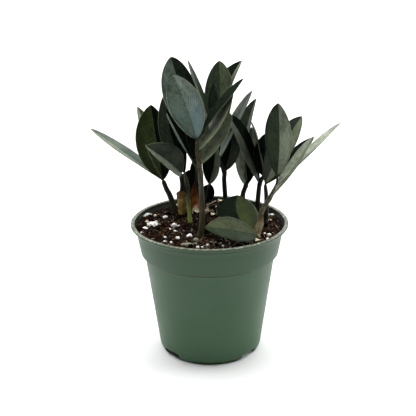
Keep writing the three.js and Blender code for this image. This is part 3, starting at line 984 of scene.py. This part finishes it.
    def scatter(
        self, draft: Draft, count: int, size: Pair, flat: Point, shades: tuple[Colour, ...],
        span: Span | None = None,
    ) -> None:
        """Strews crumbs over the mix, darker under the painted foliage shade.

        Args:
            draft: The mesh they go into.
            count: How many.
            size: Their least and most size.
            flat: Their length, width and height as shares of the size.
            shades: The colours to draw from.
            span: The least and most x and y, kept at full brightness, or None for the whole of the mix.
        """
        templates = [self.pebble(2 if size[1] > self.fine_size else 1) for _ in range(self.templates)]
        for _ in range(count):
            x, y = self.spot(self.edge_radius - 1.2)
            if span:
                x, y = self.rng.uniform(*span[:2]), self.rng.uniform(*span[2:])
            if math.hypot(x, y) > self.edge_radius - self.rim:
                x, y = x * 0.9, y * 0.9
            big = self.rng.uniform(*size) * self.rng.uniform(0.7, 1.0)
            length, width, height = (big * share * self.rng.uniform(0.8, 1.2) for share in flat)
            turn = Matrix.Rotation(self.rng.uniform(0, 2 * math.pi), 4, "Z")
            for axis in "XY":
                turn @= Matrix.Rotation(self.rng.gauss(0, self.tilt), 4, axis)
            lift = self.height(x, y) + height * self.rng.uniform(-0.15, 0.35)
            place = Matrix.Translation((x, y, lift)) @ turn @ Matrix.Diagonal((length, width, height, 1.0))
            points, faces = self.rng.choice(templates)
            low, high = Vector(self.rng.choice(shades)), Vector(self.rng.choice(shades))
            shade = low.lerp(high, self.rng.random() * 0.6)
            draft.lump(points, faces, place, tuple(shade * (1.0 if span else self.painted_foliage_shade(x, y))))

    def litter(self) -> None:
        """Strews the crumbs, clods, bark, chips and white grains."""
        draft = Draft()
        self.scatter(draft, self.crumbs, (0.8, 3.0), (1.0, 0.8, 0.7), self.browns)
        self.scatter(draft, self.clods, (3.0, 7.5), (1.0, 0.8, 0.62), self.browns[:4])
        self.scatter(draft, self.bark, (2.5, 5.5), (1.0, 0.45, 0.3), self.browns[1:])
        self.scatter(draft, self.chips, (2.0, 5.0), (1.0, 0.6, 0.35), self.greys, self.chip_span)
        ride(draft.piece("peat_and_bark_crumbs", CRUMB), "mix")
        grains = Draft()
        self.scatter(grains, self.grains, (0.6, 2.1), (1.0, 0.85, 0.7), self.whites)
        ride(grains.piece("perlite_grains", CRUMB), "perlite")

    def strands(self) -> None:
        """Lays fine fibres and twigs over the mix."""
        draft = Draft()
        for _ in range(self.fibres):
            x, y = self.spot(self.edge_radius - self.fibre_rim)
            heading, bend = self.rng.uniform(0, 2 * math.pi), self.rng.uniform(-0.5, 0.5)
            length, radius = self.rng.uniform(3, 9), self.rng.uniform(0.12, 0.3)
            points = []
            for _ in range(5):
                x, y = x + math.cos(heading) * length / 4, y + math.sin(heading) * length / 4
                heading += bend / 2
                points.append(Vector((x, y, self.height(x, y) + 0.5)))
            if max(p.xy.length for p in points) < self.edge_radius - 2:
                shade = Vector(self.rng.choice(self.browns[1:])).lerp(Vector(self.straw), self.rng.random())
                tube(draft, points, [radius] * 5, 5, tuple(shade))
        for line, radius, shade in self.twigs:
            points = [through([Vector(p) for p in line], i / (self.twig_rings - 1)) for i in range(self.twig_rings)]
            tube(draft, points, [radius] * self.twig_rings, 6, shade)
        ride(draft.piece("mix_fibres", CRUMB), "mix")

    def build(self) -> None:
        """Builds the mix and everything loose on it."""
        self.body()
        self.litter()
        self.strands()


@dataclass
class Lump:
    """A rough lump half sunk in the mix; perlite is rougher than stone."""

    name: str
    middle: Pair
    size: Point
    turn: float
    finish: LumpFinish = PERLITE
    replaces: bool = True
    sunk_share: float = 0.35

    def swell(self, point: Vector, uneven: float) -> float:
        """Returns how far out a corner of the round lump is pushed, as a share."""
        seed = point * 2.1 + Vector((*self.middle, 0)) * 3.1
        return 1.08 + uneven * noise.fractal(seed, 1.0, 2.0, 4) - 0.1 * abs(noise.noise(point * 4.5 + seed))

    def build(self) -> None:
        """Draws the lump, pitted and uneven, and dresses it."""
        draft = Draft()
        slot, uneven = ("stone", 0.14) if self.finish is STONE else ("perlite", 0.28)
        half = Vector(self.size) / 2
        place = Matrix.Translation((*self.middle, MIX_LEVEL + half.z * self.sunk_share)) @ rotation(self.turn, "Z")
        points, faces = ball(4 if self.replaces else 3)
        draft.lump([p * half * self.swell(p, uneven) for p in points], faces, place)
        ride(draft.piece(self.name + "_lump", self.finish), slot, *([self.name] if self.replaces else []))


PERLITE_LUMPS = (
    ((-61, 27), (8, 6, 5), 10), ((-55, 2), (11, 10, 5), -20), ((-34, -1), (5, 6, 5), 30), ((-44, 24), (4, 5, 3), 0),
    ((-62, -7), (4, 5, 3), 50), ((-39, -12), (4, 5, 3), -40), ((-30, -34), (4, 5, 3), 20), ((-19, -29), (6, 5, 4), 70),
    ((61, 28), (7, 4, 3), -15), ((56, -27), (4, 4, 3), 35),
)
STONES = (((-13, -39), (5, 5, 4), 15), ((-4, -37), (4, 5, 3), -30), ((-21, -50), (11, 5, 3), 8))
SMALL_PERLITE = (
    (-54, 29, 3), (-42, 25, 2.4), (-52, 11, 3), (-33, -15, 3), (-42, -31, 2.6), (-42, -42, 2.8), (-36, -44, 2.6),
    (-14, -28, 2.4), (-11, -57, 3.2), (-7, -57, 2.4), (-30, -1, 2.6), (54, 15, 2), (57, 14, 2), (60, 14, 2.2),
    (52, -23, 2.4), (54, -37, 2.6), (-65, -18, 2.4), (-34, 60, 2.6), (7, 54, 2), (-2, -52, 3), (12, -54, 2.6),
)
LUMPS = (
    *(Lump(f"perlite_{i}", *row) for i, row in enumerate(PERLITE_LUMPS, 1)),
    *(Lump(f"stone_{i}", *row, STONE) for i, row in enumerate(STONES, 1)),
    *(
        Lump(f"small_perlite_{i + 1}", (x, y), (size, size * 0.9, size * 0.8), 40 * i, replaces=False)
        for i, (x, y, size) in enumerate(SMALL_PERLITE)
    ),
)


# Dry sheaths and scraps


@dataclass
class Sheath:
    """A dry bract curled round its own line, narrowing to a ragged point."""

    name: str
    line: tuple[Point, ...]
    radii: tuple[float, ...]
    facing: float
    spread: float
    narrows: float
    finish: SheathFinish
    slot: str = "dry_sheath"
    crumple: float = 1.0
    replaces: bool = True
    thickness: float = 0.7
    flute: float = 0.22
    rough: float = 0.6
    flare: float = 0.3
    rows: int = 46
    columns: int = 28

    def build(self) -> None:
        """Draws the sheet with its flutes and ragged edge, and dresses it."""
        draft, grid = Draft(), []
        points = [Vector(p) for p in self.line]
        for i in range(self.rows):
            t = i / (self.rows - 1)
            radius = through([Vector((r, 0, 0)) for r in self.radii], t).x
            taper = max(0.0, (t - self.narrows) / (1 - self.narrows))
            ragged = 0.1 * noise.noise(Vector((t * 9, radius, 2.0)))
            reach = self.spread * (1 - 0.92 * taper**1.6 + ragged * ease(0.2, 0.6, t))
            grid.append([])
            for j in range(self.columns):
                share = 2 * j / (self.columns - 1) - 1
                rough = self.rough * noise.fractal(Vector((share * 3, t * 4, radius)), 0.9, 2.0, 3)
                flute = self.crumple * (self.flute * math.sin(share * 17) + rough) * ease(0.05, 0.4, t)
                flare = self.flare * self.radii[-1] * ease(0.55, 1.0, t) * abs(share)
                out = rotation(self.facing + share * reach, "Z") @ Vector((1, 0, 0))
                middle = through(points, t) + out * (radius + flute + flare)
                half = out * self.thickness / 2 * (1 - 0.6 * abs(share) ** 4)
                grid[-1].append((middle + half, middle - half, j / (self.columns - 1), t))
        draft.slab(grid)
        ride(draft.piece(self.name + "_dry", self.finish), self.slot, *([self.name] if self.replaces else []))


SHEATHS = (
    Sheath(
        "papery_sheath", ((-25, 38, 119), (-25, 38, 126), (-25.5, 34, 138), (-25.5, 27, 154)), (5.8, 6.2, 6.0, 4.8),
        -110, 150, 0.55, PAPERY, crumple=1.1,
    ),
    Sheath(
        "dark_bract", ((-19, 55, 119), (-19, 55, 130), (-19, 54, 150), (-20, 53, 168)), (8.0, 8.4, 8.2, 7.0),
        -90, 88, 0.72, BRACT, crumple=2.2, replaces=False,
    ),
    Sheath(
        "rust_sheath", ((-15, 48, 119), (-15, 48, 126), (-15, 47, 141), (-15, 46, 156)), (3.4, 3.7, 3.6, 2.0),
        -90, 110, 0.3, RUSTY, "rust_sheath", 1.3,
    ),
    Sheath(
        "buff_sheath", ((44, -27, 119), (44, -27, 126), (46, -27, 135), (49, -24, 147)), (4.1, 4.1, 3.9, 3.5),
        -80, 100, 0.3, BUFF,
    ),
)


@dataclass
class Scrap:
    """A torn, curled flake of dry skin that lies on the mix."""

    name: str
    middle: Pair
    size: Pair
    turn: float
    tilt: float
    level: float = 126.3
    lift: float = 0.8
    thickness: float = 0.35
    steps: int = 12

    def build(self) -> None:
        """Draws the flake and dresses it."""
        draft, grid = Draft(), []
        length, width = self.size
        place = Matrix.Translation((*self.middle, self.level)) @ rotation(self.turn, "Z") @ rotation(self.tilt, "Y")
        half = place.to_3x3() @ Vector((0, 0, self.thickness / 2))
        shares = [i / (self.steps - 1) for i in range(self.steps)]
        for t in shares:
            grid.append([])
            for across in shares:
                u = 2 * across - 1
                torn = 0.55 + 0.45 * math.sin(math.pi * t) + 0.35 * noise.noise(Vector((t * 5, u * 2, length)))
                curl = 1.1 * u * u + 0.9 * math.sin(3 * t + u) + 0.8 * noise.noise(Vector((t * 3, u * 2, width)))
                point = place @ Vector(((t - 0.5) * length, u * width / 2 * torn, curl + self.lift))
                grid[-1].append((point + half, point - half, across, t))
        draft.slab(grid)
        ride(draft.piece(self.name, CREAM), "dry_sheath")


SCRAPS = (
    Scrap("scrap_by_rust_sheath", (-14, 41), (11, 6), 75, -55), Scrap("scrap_behind_stem", (-5, 37), (9, 6), 15, 16),
    Scrap("scrap_in_middle", (0, 33), (10, 5), -25, -22), Scrap("scrap_near_leaf", (4, 26), (7, 5), 40, 14),
    Scrap("scrap_by_green_stem", (-13, 36), (7, 5), 120, -28), Scrap("scrap_upright", (-2, 40), (8, 4), 80, -48),
    Scrap("scrap_at_lip", (12, 66), (7, 3), 5, 6), Scrap("scrap_left", (-60, 4), (7, 3), -40, 10),
    Scrap("scrap_front_right", (45, -46), (7, 3), 20, 5), Scrap("scrap_front_low", (37, -50), (6, 3), -15, 4),
)


# The leafy stems


@dataclass
class Leaflet:
    """One leaflet: where it leaves its stem, how it lies, and the tone of each half, which paints the light and shade
    that half catches.
    """

    at: int
    heading: float
    rise: float
    length: float
    width: float
    roll: float
    fold: float
    bow: float = 0.0
    sweep: float = 0.0
    # The tones of the left and right halves paint the light and shade each half catches over its own colour.
    left: Tone = NIGHT
    right: Tone = NIGHT
    bare: float = 0.0
    thickness: float = 0.8
    stalk_thickness: float = 1.8
    stalk_share: float = 0.14
    opens: float = 0.8
    closes: float = 0.72
    veins: int = 13
    vein_slant: float = 0.36
    quilt: float = 0.09
    groove: float = 0.16
    ridge: float = 0.3
    ripple: float = 0.4
    swell: float = 0.6
    stations: int = 40
    columns: int = 17

    def axes(self) -> tuple[Vector, Vector, Vector]:
        """Returns the directions along the blade, out of its upper face and to its right edge."""
        turn = (rotation(self.heading, "Z") @ rotation(-self.rise, "Y") @ rotation(self.roll, "X")).to_3x3()
        return turn.col[0], turn.col[2], -turn.col[1]

    def half_width(self, t: float) -> float:
        """Works out half the blade's width, no less than its stalk's or its thin tip's.

        Args:
            t: The share of its length.

        Returns:
            Half its width there.
        """
        widest = self.opens / (self.opens + self.closes)
        most = widest**self.opens * (1 - widest) ** self.closes
        blade = t**self.opens * (1 - t) ** self.closes / most * self.width / 2
        return max(blade, 1 - t / 0.1, 0.15)

    def draw(self, draft: Draft, base: Vector, halves: tuple[int, int], under: int) -> None:
        """Draws the blade: a soft fold, a sunken midrib, quilted veins and a thin edge.

        Args:
            draft: The mesh that it goes into.
            base: Where it leaves the stem.
            halves: The finishes of the upper face's left and right halves.
            under: The lower face's finish.
        """
        along, face, right = self.axes()
        fold = math.radians(self.fold)
        seed = Vector((self.heading, self.rise, self.length)) * 0.37
        grid = []
        for i in range(self.stations):
            t = 0.5 - 0.5 * math.cos(math.pi * i / (self.stations - 1))
            reach = max(0.0, (t - self.bare) / (1 - self.bare))
            arch, full = 4 * t * (1 - t), 4 * reach * (1 - reach)
            middle = base + along * self.length * t + face * self.bow * arch + right * self.sweep * arch
            stalk = max(0.0, 1 - reach / self.stalk_share)
            half = self.half_width(reach)
            grid.append([])
            for j in range(self.columns):
                u = 2 * j / (self.columns - 1) - 1
                u = math.copysign(abs(u) ** 0.9, u)
                soft = math.sqrt(u * u + 0.004) - 0.063
                swell = self.swell * noise.noise(seed + Vector((reach * 2.4, u, 0)))
                wave = full * (self.ripple * abs(u) * math.sin(6.5 * reach + self.heading) + swell)
                rib = math.sin(2 * math.pi * self.veins * (reach - self.vein_slant * abs(u) ** 1.25))
                quilt = self.quilt * full * rib * ease(0.05, 0.3, abs(u))
                bent = half * soft * math.sin(fold) + wave * (1 - stalk)
                centre = middle + right * half * u * math.cos(fold) + face * bent
                lean = math.copysign(min(1.0, abs(u) * 8), u) * math.sin(fold)
                out = (face * math.cos(fold) - right * lean).normalized()
                blade = self.thickness * (1 - 0.62 * abs(u) ** 3) * (1 - stalk)
                thick = blade + self.stalk_thickness * stalk * math.sqrt(max(0.05, 1 - u * u))
                groove = self.groove * math.exp(-((u / 0.06) ** 2)) * (1 - stalk) * full
                ridge = self.ridge * math.exp(-((u / 0.09) ** 2)) * (1 - reach)
                above, below = out * (thick / 2 + quilt - groove), out * (thick / 2 - quilt + ridge)
                grid[-1].append((centre + above, centre - below, (u + 1) / 2, reach))
        draft.slab(grid, halves, under)


@dataclass
class Frond:
    """A leafy stem: a rod through a line of points, with its leaflets."""

    name: str
    slot: str
    radii: Pair
    line: tuple[Point, ...]
    leaflets: tuple[Leaflet, ...]
    stem: StemFinish = STEM_THIN
    sunk: float = 7.0
    sides: int = 18
    rings_a_span: int = 9
    top_span: float = 0.22
    top_narrows: float = 0.4
    joint_span: float = 0.16
    swollen: float = 0.16
    foot_swell: float = 0.9
    uneven: float = 0.03

    def draw_stem(self, draft: Draft) -> None:
        """Draws the stem, swollen where a leaflet leaves it and at its foot, and narrowed at its top.

        Args:
            draft: The mesh that it goes into.
        """
        points = [Vector(p) for p in self.line]
        points.insert(0, points[0] - Vector((0, 0, self.sunk)))
        spans = len(points) - 1
        joints = {leaf.at + 1 for leaf in self.leaflets if leaf.at + 1 < spans}
        centres, radii = [], []
        for i in range(spans * self.rings_a_span + 1):
            share = i / (spans * self.rings_a_span)
            reach = share * spans
            radius = self.radii[0] + (self.radii[1] - self.radii[0]) * share
            radius *= 1 - self.top_narrows * ease(1 - self.top_span / spans, 1.0, share)
            swell = sum(math.exp(-(((reach - joint) / self.joint_span) ** 2)) for joint in joints)
            swell += self.foot_swell * math.exp(-((reach - 1) ** 2) / 0.08)
            centres.append(through(points, share))
            rough = self.uneven * noise.noise(Vector((reach * 3, radius, 0)))
            radii.append(radius * (1 + self.swollen * swell + rough))
        tube(draft, centres, radii, self.sides)

    def build(self) -> None:
        """Draws the stem and its leaflets as one piece and dresses it."""
        draft = Draft()
        self.draw_stem(draft)
        tones = list(dict.fromkeys(tone for leaf in self.leaflets for tone in (leaf.left, leaf.right)))
        for leaf in self.leaflets:
            leaf.draw(draft, Vector(self.line[leaf.at]), (2 + tones.index(leaf.left), 2 + tones.index(leaf.right)), 1)
        piece = draft.piece(self.name + "_foliage", self.stem, LEAF_UNDER, *(tone.finish() for tone in tones))
        ride(piece, self.slot, self.name)


# The two tones in each leaflet row paint the light and shade on its left and right halves.
FRONDS = (
    Frond(
        "frond_front", "dark_leaf", (3.2, 1.6),
        (
            (-9, -31, 126), (-7, -31, 142), (-7, -31, 162), (-8, -30, 187), (-9, -29, 196), (-11, -25, 207),
            (-11, -20, 218),
        ),
        (
            Leaflet(3, 128, 43, 70, 31, 16, 32, 0, -1, STEEL, COAL, bare=0.2),
            Leaflet(4, 44, 46, 58, 35, -4, 7, -1, -4, SAGE, SAGE),
            Leaflet(4, 95, 55, 60, 22, 0, 8, 0, 0, COAL, SAGE),
            Leaflet(5, 34, 51, 65, 26, -17, 5, -2, 1, SAGE, SAGE),
            Leaflet(6, 159, 69, 63, 35, -90, 9, -0.5, 2, SLATE, STEEL),
            Leaflet(6, 31, 45, 72, 28, -17, 13, 0, -1, NIGHT, NIGHT, bare=0.13),
            Leaflet(6, 121, 56, 83, 37, -43, 29, 2, 0, SLATE, NIGHT),
        ),
        STEM_DARK,
    ),
    Frond(
        "frond_left_front", "dark_leaf", (2.1, 1.4), ((-19, 12, 126), (-20.5, 18, 141), (-21, 24, 157), (-24, 29, 170)),
        (Leaflet(3, 176, 77, 81, 32, -38, 5, -4, -1, FOREST, COAL),),
        STEM_GREEN,
    ),
    Frond(
        "frond_left_middle", "dark_leaf", (2.8, 2.5), ((-26, 38, 126), (-27, 30, 146), (-26, 18, 162), (-27, 10, 175)),
        (Leaflet(3, -148, 42, 51, 33, -61, 38, 8, -4, MIST, SOOT),),
    ),
    Frond(
        "frond_left_rear", "olive_leaf", (3.5, 2.2), ((-34, 38, 126), (-39, 40, 142), (-43, 42, 150), (-46, 44, 158)),
        (
            Leaflet(3, 163, 82, 77, 42, -88, 28, 1, 0, OLIVE, COAL),
            Leaflet(3, 163, 32, 90, 25, 4, 11, 0, 0, MIST, SLATE),
            Leaflet(3, 142, 66, 77, 24, 5, 12, 1, 0, MIST, MOSS),
        ),
    ),
    Frond(
        "frond_rear_left", "olive_leaf", (2.6, 2.1),
        (
            (17, 53, 126), (16, 52, 139), (15, 47, 157), (15, 43, 167), (10, 37, 181), (8, 34, 188), (8, 31, 198),
            (10, 30, 207),
        ),
        (
            Leaflet(3, -17, 83, 52, 28, 64, 12, -2, 3, COAL, FOREST),
            Leaflet(4, 11, 64, 75, 26, 3, 8, 1, -1, SLATE, SLATE),
            Leaflet(6, 168, 71, 87, 28, 3, 5, 0, 0, SLATE, FOREST),
            Leaflet(7, 89, 58, 77, 36, -36, 13, -1, 1, FOREST, MOSS),
            Leaflet(7, 60, 55, 80, 31, -15, 28, 4, -6, NIGHT, SAGE),
        ),
    ),
    Frond(
        "frond_small", "olive_leaf", (1.4, 1.0), ((-4, 44, 126), (-4, 38, 136), (-2, 30, 149), (0, 26, 159)),
        (
            Leaflet(1, 5, 74, 20, 15, 60, 8, 0, 0, COAL, COAL),
            Leaflet(3, -34, 79, 44, 24, 84, 25, -1, 1, COAL, ASH),
        ),
    ),
    Frond(
        "frond_young", "dark_leaf", (1.3, 1.0), ((-15, 48, 126), (-15, 48, 141), (-14.5, 47, 152)),
        (Leaflet(2, -22, 84, 29, 12, 71, 12, 1, 0, COAL, FOREST),),
    ),
    Frond(
        "frond_rear_middle", "dark_leaf", (2.9, 2.2), ((34, 52, 126), (34, 53, 139), (37, 54, 148), (38, 54, 152)),
        (
            Leaflet(2, 135, 84, 56, 28, -38, 38, 1, 1, FROST, COAL),
            Leaflet(3, 39, 82, 85, 30, -15, 18, 5, -4, FOREST, SLATE),
        ),
    ),
    Frond(
        "frond_rear_right", "dark_leaf", (2.8, 2.1), ((48, 42, 126), (49, 38, 145), (50, 35, 156), (53, 32, 165)),
        (
            Leaflet(2, -142, 62, 87, 30, -57, 5, 1, 6, SOOT, COAL),
            Leaflet(3, 120, 64, 50, 20, -90, 10, 0, 0, FROST, FROST),
            Leaflet(3, 165, 77, 57, 22, 13, 7, 2, 0, NIGHT, SOOT),
            Leaflet(3, 45, 86, 43, 23, 50, 14, 0, 0, COAL, NIGHT),
        ),
    ),
    Frond(
        "frond_right_rear", "dark_leaf", (3.2, 1.8), ((54, 9, 126), (55, 6, 140), (55, 6, 152), (54, 10, 164)),
        (
            Leaflet(3, 1, 45, 65, 25, 14, 8, 0, 1, NIGHT, NIGHT),
            Leaflet(3, 19, 60, 74, 29, 26, 12, 1, -2, SOOT, SAGE),
        ),
    ),
    Frond(
        "frond_right_front", "dark_leaf", (3.2, 2.0),
        ((44, -27, 126), (47, -26, 136), (49, -23, 148), (56, -20, 159), (63, -15, 170)),
        (
            Leaflet(3, 8, 55, 72, 22, 4, 15, -1, 1, FROST, MIST),
            Leaflet(4, 6, 45, 84, 24, -4, 14, 0, 0, FROST, FROST),
            Leaflet(4, 54, 89, 80, 30, 1, 8, -4, 0, FOREST, MIST, bare=0.12),
        ),
        STEM_BUFF,
    ),
    Frond(
        "frond_low", "olive_leaf", (2.0, 1.4), ((46, -38, 126), (45, -37, 129), (37, -31, 130)),
        (
            Leaflet(1, -154, 18, 57, 27, -35, 6, 5, -2, FOREST, MOSS),
            Leaflet(2, 99, 17, 60, 41, 8, 1, 0, -6, NIGHT, OLIVE),
        ),
        STEM_BUFF,
    ),
)


# The studio


@dataclass
class Studio:
    """A pale floor, soft white surroundings and the camera at the photograph's viewpoint."""

    eye: Point = (-0.0014, -0.95, 0.4821)
    pitch: float = 19.607
    roll: float = -0.47
    lens: float = 90.64
    film: float = 36.0
    floor_reach: float = 15000.0
    aim: Point = (0.0, 0.0, 0.15)
    lamp_size: float = 0.8
    lamps: tuple[tuple[str, Point, float], ...] = (
        ("soft_lamp_left", (-1.2, 1.1, 0.9), 3.0), ("soft_lamp_right", (1.3, 0.3, 0.9), 5.0),
    )

    def camera(self) -> None:
        """Sets up the camera."""
        data = bpy.data.cameras.new("photo_camera")
        data.lens, data.sensor_width, data.sensor_fit = self.lens, self.film, "HORIZONTAL"
        made = linked("photo_camera", data)
        made.location = self.eye
        made.rotation_euler = (rotation(90 - self.pitch, "X") @ rotation(self.roll, "Z")).to_euler()
        bpy.context.scene.camera = made

    def floor(self) -> None:
        """Lays the pale floor."""
        draft = Draft()
        ends = ((-1, -1), (1, -1), (1, 1), (-1, 1))
        draft.face(*(draft.corner(Vector((x, y, 0)) * self.floor_reach) for x, y in ends))
        draft.piece("studio_floor", Finish("pale_floor"))

    def surroundings(self) -> None:
        """Makes the soft white surroundings: bright behind and above the plant, dark about the camera."""
        world = bpy.data.worlds.new("soft_tent")
        bpy.context.scene.world = world
        tree = Tree(world)
        _, ahead, up = tree.split(tree.add("TexCoord").outputs["Generated"])
        behind, above = tree.spread(tree.plus(up, ahead), 0.35, 0.85), tree.spread(up, 0.05, 0.6, 1.2, 3.6)
        strength = tree.math("MULTIPLY_ADD", behind, above, 0.08)
        back = tree.add("Background", {"Color": (1.0, 1.0, 0.985, 1.0), "Strength": strength})
        tree.add("OutputWorld", {"Surface": back.outputs[0]})

    def hang_lamps(self) -> None:
        """Hangs the square soft lamps, each aimed at the plant and with its power in watts."""
        for name, place, power in self.lamps:
            data = bpy.data.lights.new(name, "AREA")
            data.size, data.energy = self.lamp_size, power
            made = linked(name, data)
            made.location = place
            made.rotation_euler = (Vector(self.aim) - Vector(place)).to_track_quat("-Z", "Y").to_euler()

    def build(self) -> None:
        """Builds the studio."""
        self.camera()
        self.floor()
        self.surroundings()
        self.hang_lamps()
        settings = bpy.context.scene.view_settings
        settings.view_transform, settings.look = "Standard", "None"


def main() -> None:
    """Builds the studio, the pot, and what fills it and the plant."""
    for part in (Studio(), NurseryPot(), PottingMix(), *LUMPS, *SHEATHS, *SCRAPS, *FRONDS):
        part.build()


if __name__ == "__main__":
    main()
